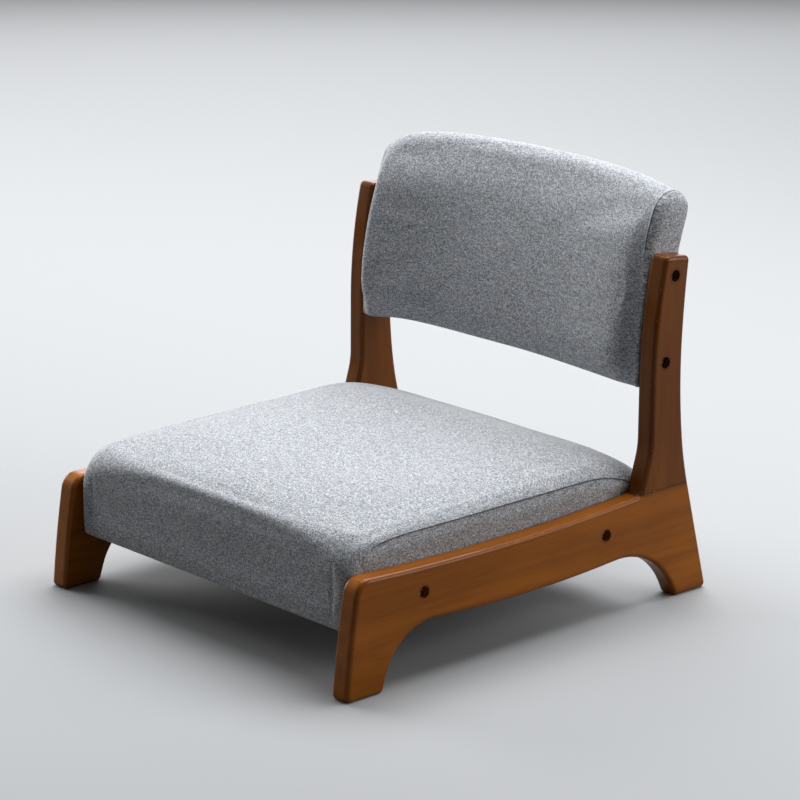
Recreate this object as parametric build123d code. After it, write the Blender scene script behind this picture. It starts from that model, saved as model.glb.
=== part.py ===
from build123d import *
from math import asin, cos, pi, sin, sqrt
import os

# Low wooden floor chair with an upholstered seat and back. Millimetres. X runs across
# the chair with the sitter's left at +X, the front faces -Y, +Z is up and the floor is
# Z = 0. Profiles are drawn with Y = 0 midway between the feet's outer ends, and the whole
# chair is then moved so that its origin lies under the middle of its bounding box.

# --- driving dimensions -------------------------------------------------------------

# side boards
overall_width = 450.0
board_thickness = 22.0
edge_rounding = 4.5
base_depth = 495.6
front_foot_width = 47.2
rear_foot_width = 46.0
foot_corner_radius = 5.0
front_lean = 16.0
front_bulge = 1.6
brow_height = 118.4
brow_radius = 17.0
rail_top_sag = 6.2
joint_height = 118.5
arch_clearance = 53.3
arch_rise = 9.5
front_arch_lean = 20.4
rear_arch_lean = 30.7
front_arch_radius = 62.0
rear_arch_radius = 85.0
heel_lean = 31.3

# back posts
post_setback = 87.3
post_waist = 42.4
post_above_bolt = 21.4
post_top_fall = 4.2
post_corner_radius = 5.5
flare_reach = 13.4
flare_height = 45.0
flare_radius = 70.0
nook_radius = 6.0
front_bend_rise = 113.5
front_rake = 15.0
rear_bend_rise = 49.5
rear_bend_reach = 4.1
waist_rise = 153.5
rear_rake = 6.8

# bolts, washers, inserts, dowels and screws
bolt_diameter = 6.0
bolt_length = 25.0
bolt_head_diameter = 10.0
bolt_head_height = 6.0
bolt_socket = 5.0
bolt_socket_depth = 3.0
washer_diameter = 11.0
washer_thickness = 1.6
counterbore_diameter = 12.0
counterbore_depth = 14.5
insert_diameter = 10.0
insert_length = 13.0
insert_flange = 1.0
insert_flange_diameter = 13.0
bolt_tip_room = 2.0
hole_clearance = 0.3
thread_clearance = 0.05
dowel_diameter = 8.0
dowel_length = 40.0
dowel_pitch = 28.0
dowel_clearance = 0.05
dowel_end_room = 0.3
screw_diameter = 4.0
screw_length = 26.0
screw_head_diameter = 8.0
screw_head_height = 2.6
screw_clearance = 0.05

# seat
side_clearance = 0.3
soft_clearance = 0.3
cloth = 1.2
seat_setback = 21.8
seat_past_post = 15.5
seat_lift = 3.4
seam_rise = 84.8
seat_crown = 19.8
crown_power = 4.0
crown_softness = 2.2
nose_reach = 28.0
nose_drop = 6.5
nose_drop_crown = 1.5
shoulder_reach = 97.0
rear_fall_reach = 82.0
rear_fall_radius = 152.0
seat_front_corner = 9.0
seat_rear_corner = 6.0
seat_hem_radius = 4.0
seat_hem_width = 32.0
dust_cloth = 0.8
dust_overlap = 14.0
rail_height = 50.0
side_rail_thickness = 24.0
cross_rail_thickness = 22.0
deck_thickness = 9.0
deck_corner_radius = 15.0
front_foam_thickness = 15.5
rear_foam_thickness = 10.5
seat_bolt_rise = 30.4
front_bolt_setback = 60.5
rear_bolt_setback = 66.3
corner_block_leg = 52.0
corner_block_height = 36.0
frame_dowel_length = 30.0
frame_dowel_pitch = 22.0
deck_screw_inset = 30.0
deck_screws_a_side = 4

# back
back_proud = 9.3
back_bottom = 224.5
back_height = 189.5
back_thickness = 51.0
back_upright_height = 22.0
back_curl = 31.0
back_top_crown = 1.5
front_bow_low = 18.0
front_bow_high = 36.0
rear_bow_low = 24.0
rear_bow_high = 36.0
shoulder_drop = 17.0
end_roll = 6.0
end_roll_length = 12.0
end_drop = 9.0
back_hem_radius = 7.0
core_bow = 26.1
bolt_to_front = 16.7
lower_bolt_rise = 26.5
bolt_spread = 87.1
bolt_line_run = 11.0
batten_width = 42.0
batten_front = 11.0
batten_top_inset = 44.0
batten_rear = 9.5
core_inset = 9.0
core_top_inset = 30.0
back_board_thickness = 8.0
back_board_end_inset = 11.0
batten_screw_inset = 26.0
batten_screw_rise = 18.0

# stations of the cushions' sections, as shares of half the cushion's width
seat_stations = (0.0, 0.3, 0.55, 0.72, 0.84, 0.92, 0.965, 0.988, 1.0)
back_stations = (0.0, 0.25, 0.5, 0.72, 0.88, 0.952, 0.975, 0.992, 1.0)

# how far a cut runs past the face that it opens
cut_run = 1.0

# --- worked out from them -----------------------------------------------------------

outer_x = overall_width / 2
inner_x = outer_x - board_thickness
cushion_x = inner_x - side_clearance
lining_x = cushion_x - cloth
core_x = lining_x - soft_clearance
front_y = -base_depth / 2
rear_y = base_depth / 2
post_front_y = rear_y - post_setback
post_rear_y = post_front_y + post_waist
seat_bottom = arch_clearance + seat_lift
seat_front_y = front_y + seat_setback
seat_rear_y = post_front_y + seat_past_post
box_front_y = seat_front_y + cloth + front_foam_thickness
box_rear_y = seat_rear_y - cloth - rear_foam_thickness
box_bottom = seat_bottom + cloth
deck_bottom = box_bottom + rail_height
deck_top = deck_bottom + deck_thickness
rail_inner_x = core_x - side_rail_thickness
seat_bolt_z = box_bottom + seat_bolt_rise
seat_bolts_yz = [
    (box_front_y + front_bolt_setback, seat_bolt_z),
    (box_rear_y - rear_bolt_setback, seat_bolt_z),
]
back_front_y = post_front_y - back_proud
core_bow_radius = (cushion_x**2 + core_bow**2) / (2 * core_bow)
back_bolt_y = post_front_y + bolt_to_front
back_bolt_z = back_bottom + lower_bolt_rise
back_bolts_yz = [
    (back_bolt_y, back_bolt_z),
    (back_bolt_y + bolt_line_run, back_bolt_z + bolt_spread),
]
bolt_lean = bolt_line_run / bolt_spread
post_height = back_bolt_z + bolt_spread + post_above_bolt
counterbore_x = outer_x - counterbore_depth
head_x = counterbore_x + washer_thickness
bolt_tip_x = head_x - bolt_length
insert_x = core_x - insert_length


# --- helpers ------------------------------------------------------------------------


def block(x, y, z):
    """A box between two limits along each axis."""
    size = Box(x[1] - x[0], y[1] - y[0], z[1] - z[0])
    return Pos((x[0] + x[1]) / 2, (y[0] + y[1]) / 2, (z[0] + z[1]) / 2) * size


def rod_x(x0, x1, y, z, diameter):
    """A cylinder along X from x0 to x1."""
    plane = Plane(origin=(x0, y, z), z_dir=(1, 0, 0))
    return extrude(plane * Circle(diameter / 2), x1 - x0)


def rod_z(x, y, z0, z1, diameter):
    """A cylinder along Z from z0 to z1."""
    return extrude(Plane(origin=(x, y, z0)) * Circle(diameter / 2), z1 - z0)


def group(pieces):
    """Separate solids kept together in one node."""
    return Compound([solid for piece in pieces for solid in piece.solids()])


def both_sides(piece):
    """A group of the piece and its mirror image across the middle of the chair."""
    return group([piece, mirror(piece, about=Plane.YZ)])


def corner_at(face, point):
    """The vertex of a face that lies nearest to a point of its own plane."""
    return face.vertices().sort_by_distance(Vector(*point))[0]


# --- side frames and posts ----------------------------------------------------------


def side_profile():
    """The outline of a side board and its post together, with Y across and Z up."""
    toe = (front_y, 0)
    front_middle = (front_y + front_lean / 2 - front_bulge, brow_height / 2)
    brow = (front_y + front_lean, brow_height)
    nook = (post_front_y - flare_reach, joint_height)
    rail_middle = ((brow[0] + nook[0]) / 2, (brow_height + joint_height) / 2 - rail_top_sag)
    knee = (post_front_y, joint_height + flare_height)
    front_bend = (post_front_y, joint_height + front_bend_rise)
    post_brow = (post_front_y + front_rake, post_height)
    post_crown = (post_rear_y + rear_rake, post_height - post_top_fall)
    waist = (post_rear_y, joint_height + waist_rise)
    rear_bend = (post_rear_y + rear_bend_reach, joint_height + rear_bend_rise)
    hip = (rear_y - heel_lean, joint_height)
    heel = (rear_y, 0)
    rear_foot = (rear_y - rear_foot_width, 0)
    arch_spring = arch_clearance + arch_rise
    rear_spring = (rear_foot[0] - rear_arch_lean, arch_spring)
    front_foot = (front_y + front_foot_width, 0)
    front_spring = (front_foot[0] + front_arch_lean, arch_spring)
    arch_middle = ((front_spring[0] + rear_spring[0]) / 2, arch_clearance)

    heel_edge = Line(heel, hip)
    back_low = TangentArc(hip, rear_bend, tangent=heel_edge % 1)
    back_middle = TangentArc(rear_bend, waist, tangent=back_low % 1)
    back_high = TangentArc(waist, post_crown, tangent=back_middle % 1)
    face = make_face(
        [
            ThreePointArc(toe, front_middle, brow),
            ThreePointArc(brow, rail_middle, nook),
            Line(nook, knee),
            Line(knee, front_bend),
            TangentArc(front_bend, post_brow, tangent=(0, 1)),
            Line(post_brow, post_crown),
            back_high,
            back_middle,
            back_low,
            heel_edge,
            Line(rear_foot, heel),
            Line(rear_foot, rear_spring),
            ThreePointArc(rear_spring, arch_middle, front_spring),
            Line(front_spring, front_foot),
            Line(front_foot, toe),
        ]
    )
    for point, radius in [
        (toe, foot_corner_radius),
        (brow, brow_radius),
        (nook, nook_radius),
        (knee, flare_radius),
        (post_brow, post_corner_radius),
        (post_crown, post_corner_radius),
        (heel, foot_corner_radius),
        (rear_foot, foot_corner_radius),
        (rear_spring, rear_arch_radius),
        (front_spring, front_arch_radius),
        (front_foot, foot_corner_radius),
    ]:
        face = fillet(corner_at(face, point), radius)
    return face


def bolt_hole(y, z):
    """The through hole and counterbore of one bolt, cut from the board's outer face."""
    through = rod_x(inner_x - cut_run, outer_x, y, z, bolt_diameter + 2 * hole_clearance)
    return through + rod_x(counterbore_x, outer_x + cut_run, y, z, counterbore_diameter)


def post_dowel_places():
    """Y of the dowels in the glued joint between a board and its post."""
    middle = (post_front_y + post_rear_y) / 2
    return [middle - dowel_pitch / 2, middle + dowel_pitch / 2]


def side_pieces():
    """The left side board and the left post, split along their glued joint."""
    whole = extrude(Plane.YZ * side_profile(), board_thickness)
    whole = Pos(inner_x, 0, 0) * whole
    by_x = whole.faces().filter_by(Axis.X).sort_by(Axis.X)
    whole = fillet(by_x[0].edges() + by_x[-1].edges(), edge_rounding)
    for y, z in seat_bolts_yz + back_bolts_yz:
        whole -= bolt_hole(y, z)
    reach = dowel_length / 2 + dowel_end_room
    for y in post_dowel_places():
        x = (inner_x + outer_x) / 2
        bore = dowel_diameter + 2 * dowel_clearance
        whole -= rod_z(x, y, joint_height - reach, joint_height + reach, bore)
    below = block((0, overall_width), (2 * front_y, 2 * rear_y), (-cut_run, joint_height))
    return whole & below, whole - below


def post_dowels():
    """Two dowels in each of the two glued joints."""
    x = (inner_x + outer_x) / 2
    z0 = joint_height - dowel_length / 2
    z1 = joint_height + dowel_length / 2
    dowels = [rod_z(x, y, z0, z1, dowel_diameter) for y in post_dowel_places()]
    return both_sides(group(dowels))


# --- fasteners ----------------------------------------------------------------------


def cap_bolt(y, z):
    """A socket head cap bolt whose head rests on the washer in the counterbore."""
    shank = rod_x(bolt_tip_x, head_x, y, z, bolt_diameter)
    head_top = head_x + bolt_head_height
    head = rod_x(head_x, head_top, y, z, bolt_head_diameter)
    floor = Plane(origin=(head_top - bolt_socket_depth, y, z), z_dir=(1, 0, 0))
    socket = RegularPolygon(bolt_socket / 2, 6, major_radius=False)
    return shank + head - extrude(floor * socket, bolt_head_height)


def washer(y, z):
    """A flat washer on the floor of the counterbore."""
    ring = rod_x(counterbore_x, head_x, y, z, washer_diameter)
    return ring - rod_x(counterbore_x, head_x, y, z, bolt_diameter + 2 * hole_clearance)


def insert_nut(y, z):
    """A flanged threaded insert, flush with the face of the wood that it is driven into."""
    body = rod_x(insert_x, core_x, y, z, insert_diameter)
    flange = rod_x(core_x - insert_flange, core_x, y, z, insert_flange_diameter)
    bore = rod_x(insert_x, core_x, y, z, bolt_diameter + 2 * thread_clearance)
    return body + flange - bore


def insert_pocket(y, z):
    """The stepped hole that an insert and the bolt's tip need in the wood."""
    wide = insert_diameter + 2 * thread_clearance
    rim = insert_flange_diameter + 2 * thread_clearance
    tip = rod_x(bolt_tip_x - bolt_tip_room, core_x, y, z, bolt_diameter + 2 * hole_clearance)
    pocket = tip + rod_x(insert_x, core_x + cut_run, y, z, wide)
    return pocket + rod_x(core_x - insert_flange, core_x + cut_run, y, z, rim)


def wood_screw(plane):
    """A countersunk screw pointing down the plane's normal, its head flush with the plane."""
    radius = screw_diameter / 2
    outline = Polyline(
        (0, 0),
        (screw_head_diameter / 2, 0),
        (radius, -screw_head_height),
        (radius, -screw_length + screw_diameter),
        (0, -screw_length),
        close=True,
    )
    return plane * revolve(Plane.XZ * make_face(outline), Axis.Z)


def screw_hole(plane):
    """The countersunk hole for a wood screw, open above the plane."""
    radius = screw_diameter / 2 + screw_clearance
    head_radius = screw_head_diameter / 2 + screw_clearance
    outline = Polyline(
        (0, cut_run),
        (head_radius, cut_run),
        (head_radius, 0),
        (radius, -screw_head_height),
        (radius, -screw_length - screw_clearance),
        (0, -screw_length - screw_clearance),
        close=True,
    )
    return plane * revolve(Plane.XZ * make_face(outline), Axis.Z)


# --- seat ---------------------------------------------------------------------------


def corner_setback(x, half_width, radius):
    """How far a rounded corner of the given radius stands back at x."""
    past = max(0.0, abs(x) - (half_width - radius))
    return radius - sqrt(max(0.0, radius**2 - past**2))


def seat_section(x, inset):
    """The seat's outline in the plane at x, inset by a layer, as lines and arcs.

    The top follows the seam's height plus a crown that is full in the middle and falls
    away to the side seams. From the front it runs: nose arc, shoulder arc, level top,
    rear fall arc.
    """
    half_width = cushion_x - inset
    share = min(1.0, abs(x) / half_width)
    fullness = (1 - share**crown_power) ** (1 / crown_softness)
    top = seat_bottom + seam_rise + (seat_crown - inset) * fullness
    low = seat_bottom + inset
    front = seat_front_y + inset + corner_setback(x, half_width, seat_front_corner)
    rear = seat_rear_y - inset - corner_setback(x, half_width, seat_rear_corner)

    drop = nose_drop + nose_drop_crown * fullness
    shoulder_radius = (shoulder_reach**2 + drop**2) / (2 * drop)
    tilt = asin(shoulder_reach / shoulder_radius)
    nose_end = (front + nose_reach, top - drop)
    nose_radius = nose_reach / (1 - sin(tilt))
    nose_centre = (front + nose_radius, top - drop - nose_radius * cos(tilt))
    nose_angle = (pi / 2 + tilt + pi) / 2
    shoulder_end = (nose_end[0] + shoulder_reach, top)
    fall = rear_fall_radius - sqrt(rear_fall_radius**2 - rear_fall_reach**2)
    fall_angle = asin(rear_fall_reach / rear_fall_radius) / 2
    fall_start = (rear - rear_fall_reach, top)

    def at(y, z):
        return Vector(x, y, z)

    def bow(start, angle, radius, centre, end):
        middle = (centre[0] + radius * cos(angle), centre[1] + radius * sin(angle))
        return ThreePointArc(at(*start), at(*middle), at(*end))

    hem = seat_hem_radius
    return Wire(
        [
            Line(at(front + hem, low), at(rear - hem, low)),
            bow((rear - hem, low), -pi / 4, hem, (rear - hem, low + hem), (rear, low + hem)),
            Line(at(rear, low + hem), at(rear, top - fall)),
            bow(
                (rear, top - fall),
                pi / 2 - fall_angle,
                rear_fall_radius,
                (fall_start[0], top - rear_fall_radius),
                fall_start,
            ),
            Line(at(*fall_start), at(*shoulder_end)),
            bow(
                shoulder_end,
                pi / 2 + tilt / 2,
                shoulder_radius,
                (shoulder_end[0], top - shoulder_radius),
                nose_end,
            ),
            bow(nose_end, nose_angle, nose_radius, nose_centre, (front, nose_centre[1])),
            Line(at(front, nose_centre[1]), at(front, low + hem)),
            bow((front, low + hem), -3 * pi / 4, hem, (front + hem, low + hem), (front + hem, low)),
        ]
    )


def through_sections(section, stations, half_width, inset):
    """A closed form lofted through sections at stations on both sides of the middle."""
    right = [-share * half_width for share in reversed(stations)]
    left = [share * half_width for share in stations[1:]]
    wires = [section(x, inset) for x in right + left]
    return Part() + Solid.make_loft(wires, ruled=True)


def seat_form(inset):
    """The seat cushion's full shape, drawn in by inset all round."""
    return through_sections(seat_section, seat_stations, cushion_x - inset, inset)


def side_slab(z_top):
    """The layer of cloth between the lining and the outside on the left."""
    return block((lining_x, cushion_x), (2 * front_y, 2 * rear_y), (0, z_top))


def cloth_bolt_hole(y, z):
    """The hole that a bolt makes in the side cloth."""
    hole = bolt_diameter + 2 * hole_clearance
    return rod_x(lining_x - cut_run, cushion_x + cut_run, y, z, hole)


def seat_cloths():
    """The seat's top cloth and its left boxing panel."""
    outside = seat_form(0.0)
    left_slab = side_slab(2 * deck_top)
    panel = outside & left_slab
    for y, z in seat_bolts_yz:
        panel -= cloth_bolt_hole(y, z)
    top = outside - seat_form(cloth) - left_slab - mirror(left_slab, about=Plane.YZ)
    window = block(
        (-lining_x + seat_hem_width, lining_x - seat_hem_width),
        (seat_front_y + cloth + seat_hem_width, seat_rear_y - cloth - seat_hem_width),
        (seat_bottom - cut_run, box_bottom + cut_run),
    )
    return top - window, panel


def seat_foam():
    """Foam on the deck that also hangs down over the box's front and rear."""
    wood = block(
        (-inner_x, inner_x),
        (box_front_y - soft_clearance, box_rear_y + soft_clearance),
        (0, deck_top),
    )
    return seat_form(cloth + soft_clearance) - wood


def seat_dust_cover():
    """Thin cloth under the seat that laps the turned-in hem."""
    edge = seat_hem_width - dust_overlap
    return block(
        (-lining_x + edge, lining_x - edge),
        (seat_front_y + cloth + edge, seat_rear_y - cloth - edge),
        (seat_bottom - dust_cloth, seat_bottom),
    )


def frame_dowel_places():
    """Y and Z of the dowels between the side rails and the cross rails."""
    half = cross_rail_thickness / 2
    middle = box_bottom + rail_height / 2
    heights = (middle - frame_dowel_pitch / 2, middle + frame_dowel_pitch / 2)
    return [(y, z) for y in (box_front_y + half, box_rear_y - half) for z in heights]


def frame_dowel(y, z, room=0.0, clearance=0.0):
    """A dowel across the joint between a side rail and a cross rail, or its hole."""
    reach = frame_dowel_length / 2 + room
    diameter = dowel_diameter + 2 * clearance
    return rod_x(rail_inner_x - reach, rail_inner_x + reach, y, z, diameter)


def deck_screw_planes():
    """Places of the deck's screws: a row over each side rail and two over each cross rail."""
    side_x = (rail_inner_x + core_x) / 2
    first = box_front_y + deck_screw_inset
    step = (box_rear_y - deck_screw_inset - first) / (deck_screws_a_side - 1)
    places = [(side_x, first + step * count) for count in range(deck_screws_a_side)]
    half = cross_rail_thickness / 2
    places += [(rail_inner_x / 2, box_front_y + half), (rail_inner_x / 2, box_rear_y - half)]
    return [Plane(origin=(x * side, y, deck_top)) for side in (1, -1) for x, y in places]


def seat_wood():
    """The box's rails, its deck, dowels and corner blocks."""
    side = block((rail_inner_x, core_x), (box_front_y, box_rear_y), (box_bottom, deck_bottom))
    span = (-rail_inner_x, rail_inner_x)
    height = (box_bottom, deck_bottom)
    front = block(span, (box_front_y, box_front_y + cross_rail_thickness), height)
    rear = block(span, (box_rear_y - cross_rail_thickness, box_rear_y), height)
    deck = block((-core_x, core_x), (box_front_y, box_rear_y), (deck_bottom, deck_top))
    deck = fillet(deck.edges().filter_by(Axis.Z), deck_corner_radius)
    dowels = []
    for y, z in frame_dowel_places():
        hole = both_sides(frame_dowel(y, z, dowel_end_room, dowel_clearance))
        side -= hole
        front -= hole
        rear -= hole
        dowels.append(frame_dowel(y, z))
    for y, z in seat_bolts_yz:
        side -= insert_pocket(y, z)
    screws = []
    for plane in deck_screw_planes():
        hole = screw_hole(plane)
        side -= hole
        front -= hole
        rear -= hole
        deck -= hole
        screws.append(wood_screw(plane))
    return side, front, rear, deck, both_sides(group(dowels)), group(screws)


def corner_blocks():
    """Triangular blocks glued in the four corners of the box."""
    inner_front = box_front_y + cross_rail_thickness
    inner_rear = box_rear_y - cross_rail_thickness
    blocks = []
    for y, inward in ((inner_front, 1), (inner_rear, -1)):
        triangle = Polyline(
            (rail_inner_x, y),
            (rail_inner_x - corner_block_leg, y),
            (rail_inner_x, y + inward * corner_block_leg),
            close=True,
        )
        floor = Pos(0, 0, deck_bottom - corner_block_height) * make_face(triangle)
        blocks.append(extrude(floor, corner_block_height, dir=(0, 0, 1)))
    return both_sides(group(blocks))


# --- back ---------------------------------------------------------------------------


def back_section(x, inset):
    """The back's outline in the plane at x, inset by a layer, as lines and arcs.

    Front and rear faces are arcs that lean back towards the top, and each stands back in
    the middle by its bow, which grows with height. The top is two arcs that meet at the
    crest. Near the ends the faces roll in towards the seam.
    """
    half_width = cushion_x - inset
    middle_share = 1 - min(1.0, abs(x) / half_width) ** 2
    past = max(0.0, (abs(x) - (half_width - end_roll_length)) / end_roll_length)
    roll = 1 - sqrt(max(0.0, 1 - past**2))
    low = back_bottom + inset + end_roll / 4 * roll
    crest_z = back_bottom + back_height + back_top_crown * middle_share - end_drop * roll - inset
    high = crest_z - shoulder_drop + inset
    hem = back_hem_radius
    foot = low + hem

    def lean(z):
        rise = z - back_bottom - back_upright_height
        full = back_height - shoulder_drop - back_upright_height
        return back_curl * rise * abs(rise) / full**2

    def front_y_at(z):
        height_share = (z - back_bottom) / back_height
        bow = front_bow_low + (front_bow_high - front_bow_low) * height_share
        return back_front_y + inset + end_roll * roll + bow * middle_share + lean(z)

    def rear_y_at(z):
        height_share = (z - back_bottom) / back_height
        bow = rear_bow_low + (rear_bow_high - rear_bow_low) * height_share
        face = back_front_y + back_thickness - inset - end_roll / 2 * roll
        return face + bow * middle_share + lean(z)

    crest_y = (front_y_at(high) + rear_y_at(high)) / 2

    def at(y, z):
        return Vector(x, y, z)

    def face_arc(y_at, z0, z1):
        z_middle = (z0 + z1) / 2
        return ThreePointArc(at(y_at(z0), z0), at(y_at(z_middle), z_middle), at(y_at(z1), z1))

    def dome_middle(y):
        """The middle of an arc from the shoulder at y to the crest, level at the crest."""
        reach = abs(crest_y - y)
        fall = crest_z - high
        radius = (reach**2 + fall**2) / (2 * fall)
        half = asin(min(1.0, reach / radius)) / 2
        side = 1 if y > crest_y else -1
        return (crest_y + side * radius * sin(half), crest_z - radius * (1 - cos(half)))

    front_high = (front_y_at(high), high)
    rear_high = (rear_y_at(high), high)
    front_foot = (front_y_at(foot), foot)
    rear_foot = (rear_y_at(foot), foot)
    crest = (crest_y, crest_z)
    corner = hem * (1 - sqrt(0.5))
    return Wire(
        [
            Line(at(front_foot[0] + hem, low), at(rear_foot[0] - hem, low)),
            ThreePointArc(
                at(rear_foot[0] - hem, low),
                at(rear_foot[0] - corner, low + corner),
                at(*rear_foot),
            ),
            face_arc(rear_y_at, foot, high),
            ThreePointArc(at(*rear_high), at(*dome_middle(rear_high[0])), at(*crest)),
            ThreePointArc(at(*crest), at(*dome_middle(front_high[0])), at(*front_high)),
            face_arc(front_y_at, high, foot),
            ThreePointArc(
                at(*front_foot),
                at(front_foot[0] + corner, low + corner),
                at(front_foot[0] + hem, low),
            ),
        ]
    )


def back_form(inset):
    """The back cushion's full shape, drawn in by inset all round."""
    return through_sections(back_section, back_stations, cushion_x - inset, inset)


def leaning(face, z0, z1):
    """A face at floor level carried along the line of the back's bolts from z0 to z1."""
    start = bolt_lean * (z0 - back_bolt_z)
    direction = Vector(0, bolt_lean, 1)
    return extrude(Pos(0, start, z0) * face, (z1 - z0) * direction.length, dir=direction)


def bowed_strip(front, rear, half_length):
    """A strip in plan that follows the back's curve between two distances behind it."""
    centre_y = back_bolt_y - sqrt(core_bow_radius**2 - cushion_x**2)
    ring = Circle(core_bow_radius + rear) - Circle(core_bow_radius + front)
    span = Pos(0, core_bow_radius) * Rectangle(2 * half_length, core_bow_radius)
    return Pos(0, centre_y) * (ring & span)


def core_span(top_inset):
    """Bottom and top of a piece of wood inside the back."""
    return back_bottom + core_inset, back_bottom + back_height - top_inset


def back_board_solid(grow=0.0):
    """The bent plywood board, or the space that it takes in the foam."""
    z0, z1 = core_span(core_top_inset)
    half_length = core_x - back_board_end_inset + grow
    strip = bowed_strip(batten_rear - grow, batten_rear + back_board_thickness + grow, half_length)
    return leaning(strip, z0 - grow, z1 + grow)


def batten_solid(grow=0.0):
    """The left end block in front of the board, or the space that it takes in the foam."""
    z0, z1 = core_span(batten_top_inset)
    x0 = core_x - batten_width - grow
    x1 = core_x + 2 * grow
    strip = bowed_strip(-batten_front - grow, batten_rear, outer_x)
    span = Pos((x0 + x1) / 2, 0) * Rectangle(x1 - x0, 2 * base_depth)
    return leaning(strip & span, z0 - grow, z1 + grow)


def batten_screw_planes():
    """Places of the screws that go through the board into the battens, heads to the rear."""
    x = core_x - batten_screw_inset
    planes = []
    for z in (back_bolt_z + batten_screw_rise, back_bolt_z + bolt_spread + batten_screw_rise):
        radius = core_bow_radius + batten_rear + back_board_thickness
        y = back_bolt_y - sqrt(core_bow_radius**2 - cushion_x**2) + sqrt(radius**2 - x**2)
        y += bolt_lean * (z - back_bolt_z)
        normal = Vector(x / radius, sqrt(radius**2 - x**2) / radius, -bolt_lean)
        upward = Vector(0, bolt_lean, 1)
        planes.append(Plane(origin=(x, y, z), x_dir=upward, z_dir=normal))
    return planes


def back_pieces():
    """The plywood board, the left batten and the battens' screws."""
    board = back_board_solid()
    batten = batten_solid()
    for y, z in back_bolts_yz:
        batten -= insert_pocket(y, z)
    screws = []
    for plane in batten_screw_planes():
        hole = screw_hole(plane)
        batten -= hole
        board = board - hole - mirror(hole, about=Plane.YZ)
        screws.append(wood_screw(plane))
    return board, batten, both_sides(group(screws))


def back_foams():
    """Foam in front of the board and its thinner layer behind it."""
    form = back_form(cloth + soft_clearance)
    parting = batten_rear + back_board_thickness + soft_clearance
    behind = leaning(bowed_strip(parting, 2 * back_thickness, outer_x), 0, 2 * post_height)
    hollow = batten_solid(soft_clearance)
    hollow = hollow + mirror(hollow, about=Plane.YZ) + back_board_solid(soft_clearance)
    before = leaning(
        bowed_strip(parting - soft_clearance, 2 * back_thickness, outer_x), 0, 2 * post_height
    )
    return form - hollow - before, form & behind


def back_cloths():
    """The back's wrapping cloth and its left end panel."""
    outside = back_form(0.0)
    left_slab = side_slab(2 * post_height)
    panel = outside & left_slab
    for y, z in back_bolts_yz:
        panel -= cloth_bolt_hole(y, z)
    wrap = outside - back_form(cloth) - left_slab - mirror(left_slab, about=Plane.YZ)
    return wrap, panel


# --- the whole chair ----------------------------------------------------------------


def chair():
    """Every piece of the chair by its node's name, in the profiles' own place."""
    pieces = {}

    def pair(name, piece):
        pieces[name + "_left"] = piece
        pieces[name + "_right"] = mirror(piece, about=Plane.YZ)

    board, post = side_pieces()
    pair("side_frame", board)
    pair("back_post", post)
    pieces["post_dowels"] = post_dowels()

    side, front, rear, deck, dowels, screws = seat_wood()
    pair("seat_side_rail", side)
    pieces["seat_front_rail"] = front
    pieces["seat_rear_rail"] = rear
    pieces["seat_frame_dowels"] = dowels
    pieces["seat_corner_blocks"] = corner_blocks()
    pieces["seat_deck"] = deck
    pieces["seat_deck_screws"] = screws
    pieces["seat_foam"] = seat_foam()
    top, panel = seat_cloths()
    pieces["seat_cover_top"] = top
    pair("seat_cover_side", panel)
    pieces["seat_dust_cover"] = seat_dust_cover()

    board, batten, screws = back_pieces()
    pieces["back_board"] = board
    pair("back_batten", batten)
    pieces["back_batten_screws"] = screws
    pieces["back_foam_front"], pieces["back_foam_rear"] = back_foams()
    wrap, panel = back_cloths()
    pieces["back_cover_wrap"] = wrap
    pair("back_cover_end", panel)

    for name, places in (("seat", seat_bolts_yz), ("back", back_bolts_yz)):
        pieces[name + "_bolts"] = both_sides(group([cap_bolt(y, z) for y, z in places]))
        pieces[name + "_washers"] = both_sides(group([washer(y, z) for y, z in places]))
        pieces[name + "_insert_nuts"] = both_sides(group([insert_nut(y, z) for y, z in places]))
    return pieces


def main():
    """Writes each piece as a STEP file, with the origin under the middle of the chair."""
    pieces = chair()
    boxes = [piece.bounding_box() for piece in pieces.values()]
    middle_y = (min(box.min.Y for box in boxes) + max(box.max.Y for box in boxes)) / 2
    os.makedirs("parts", exist_ok=True)
    for name, piece in pieces.items():
        export_step(Pos(0, -middle_y, 0) * piece, f"parts/{name}.step")
    print("moved along Y by", round(-middle_y, 3))


main()
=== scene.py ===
# %% [markdown]
# # A low wooden floor chair with padded seat and back
# This lesson dresses a finished CAD model of a floor chair. The model comes in as a fixed
# frame in metres: +X is the sitter's left, -Y is the chair's front and Z = 0 is the floor.
# Wooden parts keep their CAD shape and get a lacquered wood finish. The cushions are made
# again as soft skins, because cloth over foam never looks like a machined solid.

# %% Load the frame
import math

import bpy
import numpy as np
from mathutils import Matrix, Vector
from mathutils.bvhtree import BVHTree


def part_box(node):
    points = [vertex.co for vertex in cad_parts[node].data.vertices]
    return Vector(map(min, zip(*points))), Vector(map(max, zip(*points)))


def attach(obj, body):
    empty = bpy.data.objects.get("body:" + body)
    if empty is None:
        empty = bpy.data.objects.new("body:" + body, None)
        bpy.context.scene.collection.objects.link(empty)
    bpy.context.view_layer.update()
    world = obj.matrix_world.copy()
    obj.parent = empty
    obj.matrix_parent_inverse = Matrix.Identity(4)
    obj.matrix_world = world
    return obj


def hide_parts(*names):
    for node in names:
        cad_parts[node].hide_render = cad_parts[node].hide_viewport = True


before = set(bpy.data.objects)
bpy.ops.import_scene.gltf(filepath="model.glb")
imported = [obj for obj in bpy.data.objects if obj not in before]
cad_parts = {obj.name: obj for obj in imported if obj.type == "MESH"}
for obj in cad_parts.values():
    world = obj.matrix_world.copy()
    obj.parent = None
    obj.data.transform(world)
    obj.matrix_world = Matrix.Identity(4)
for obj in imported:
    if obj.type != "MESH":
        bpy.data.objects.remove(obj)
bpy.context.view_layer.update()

print("nodes in the frame:", len(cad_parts))

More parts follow.
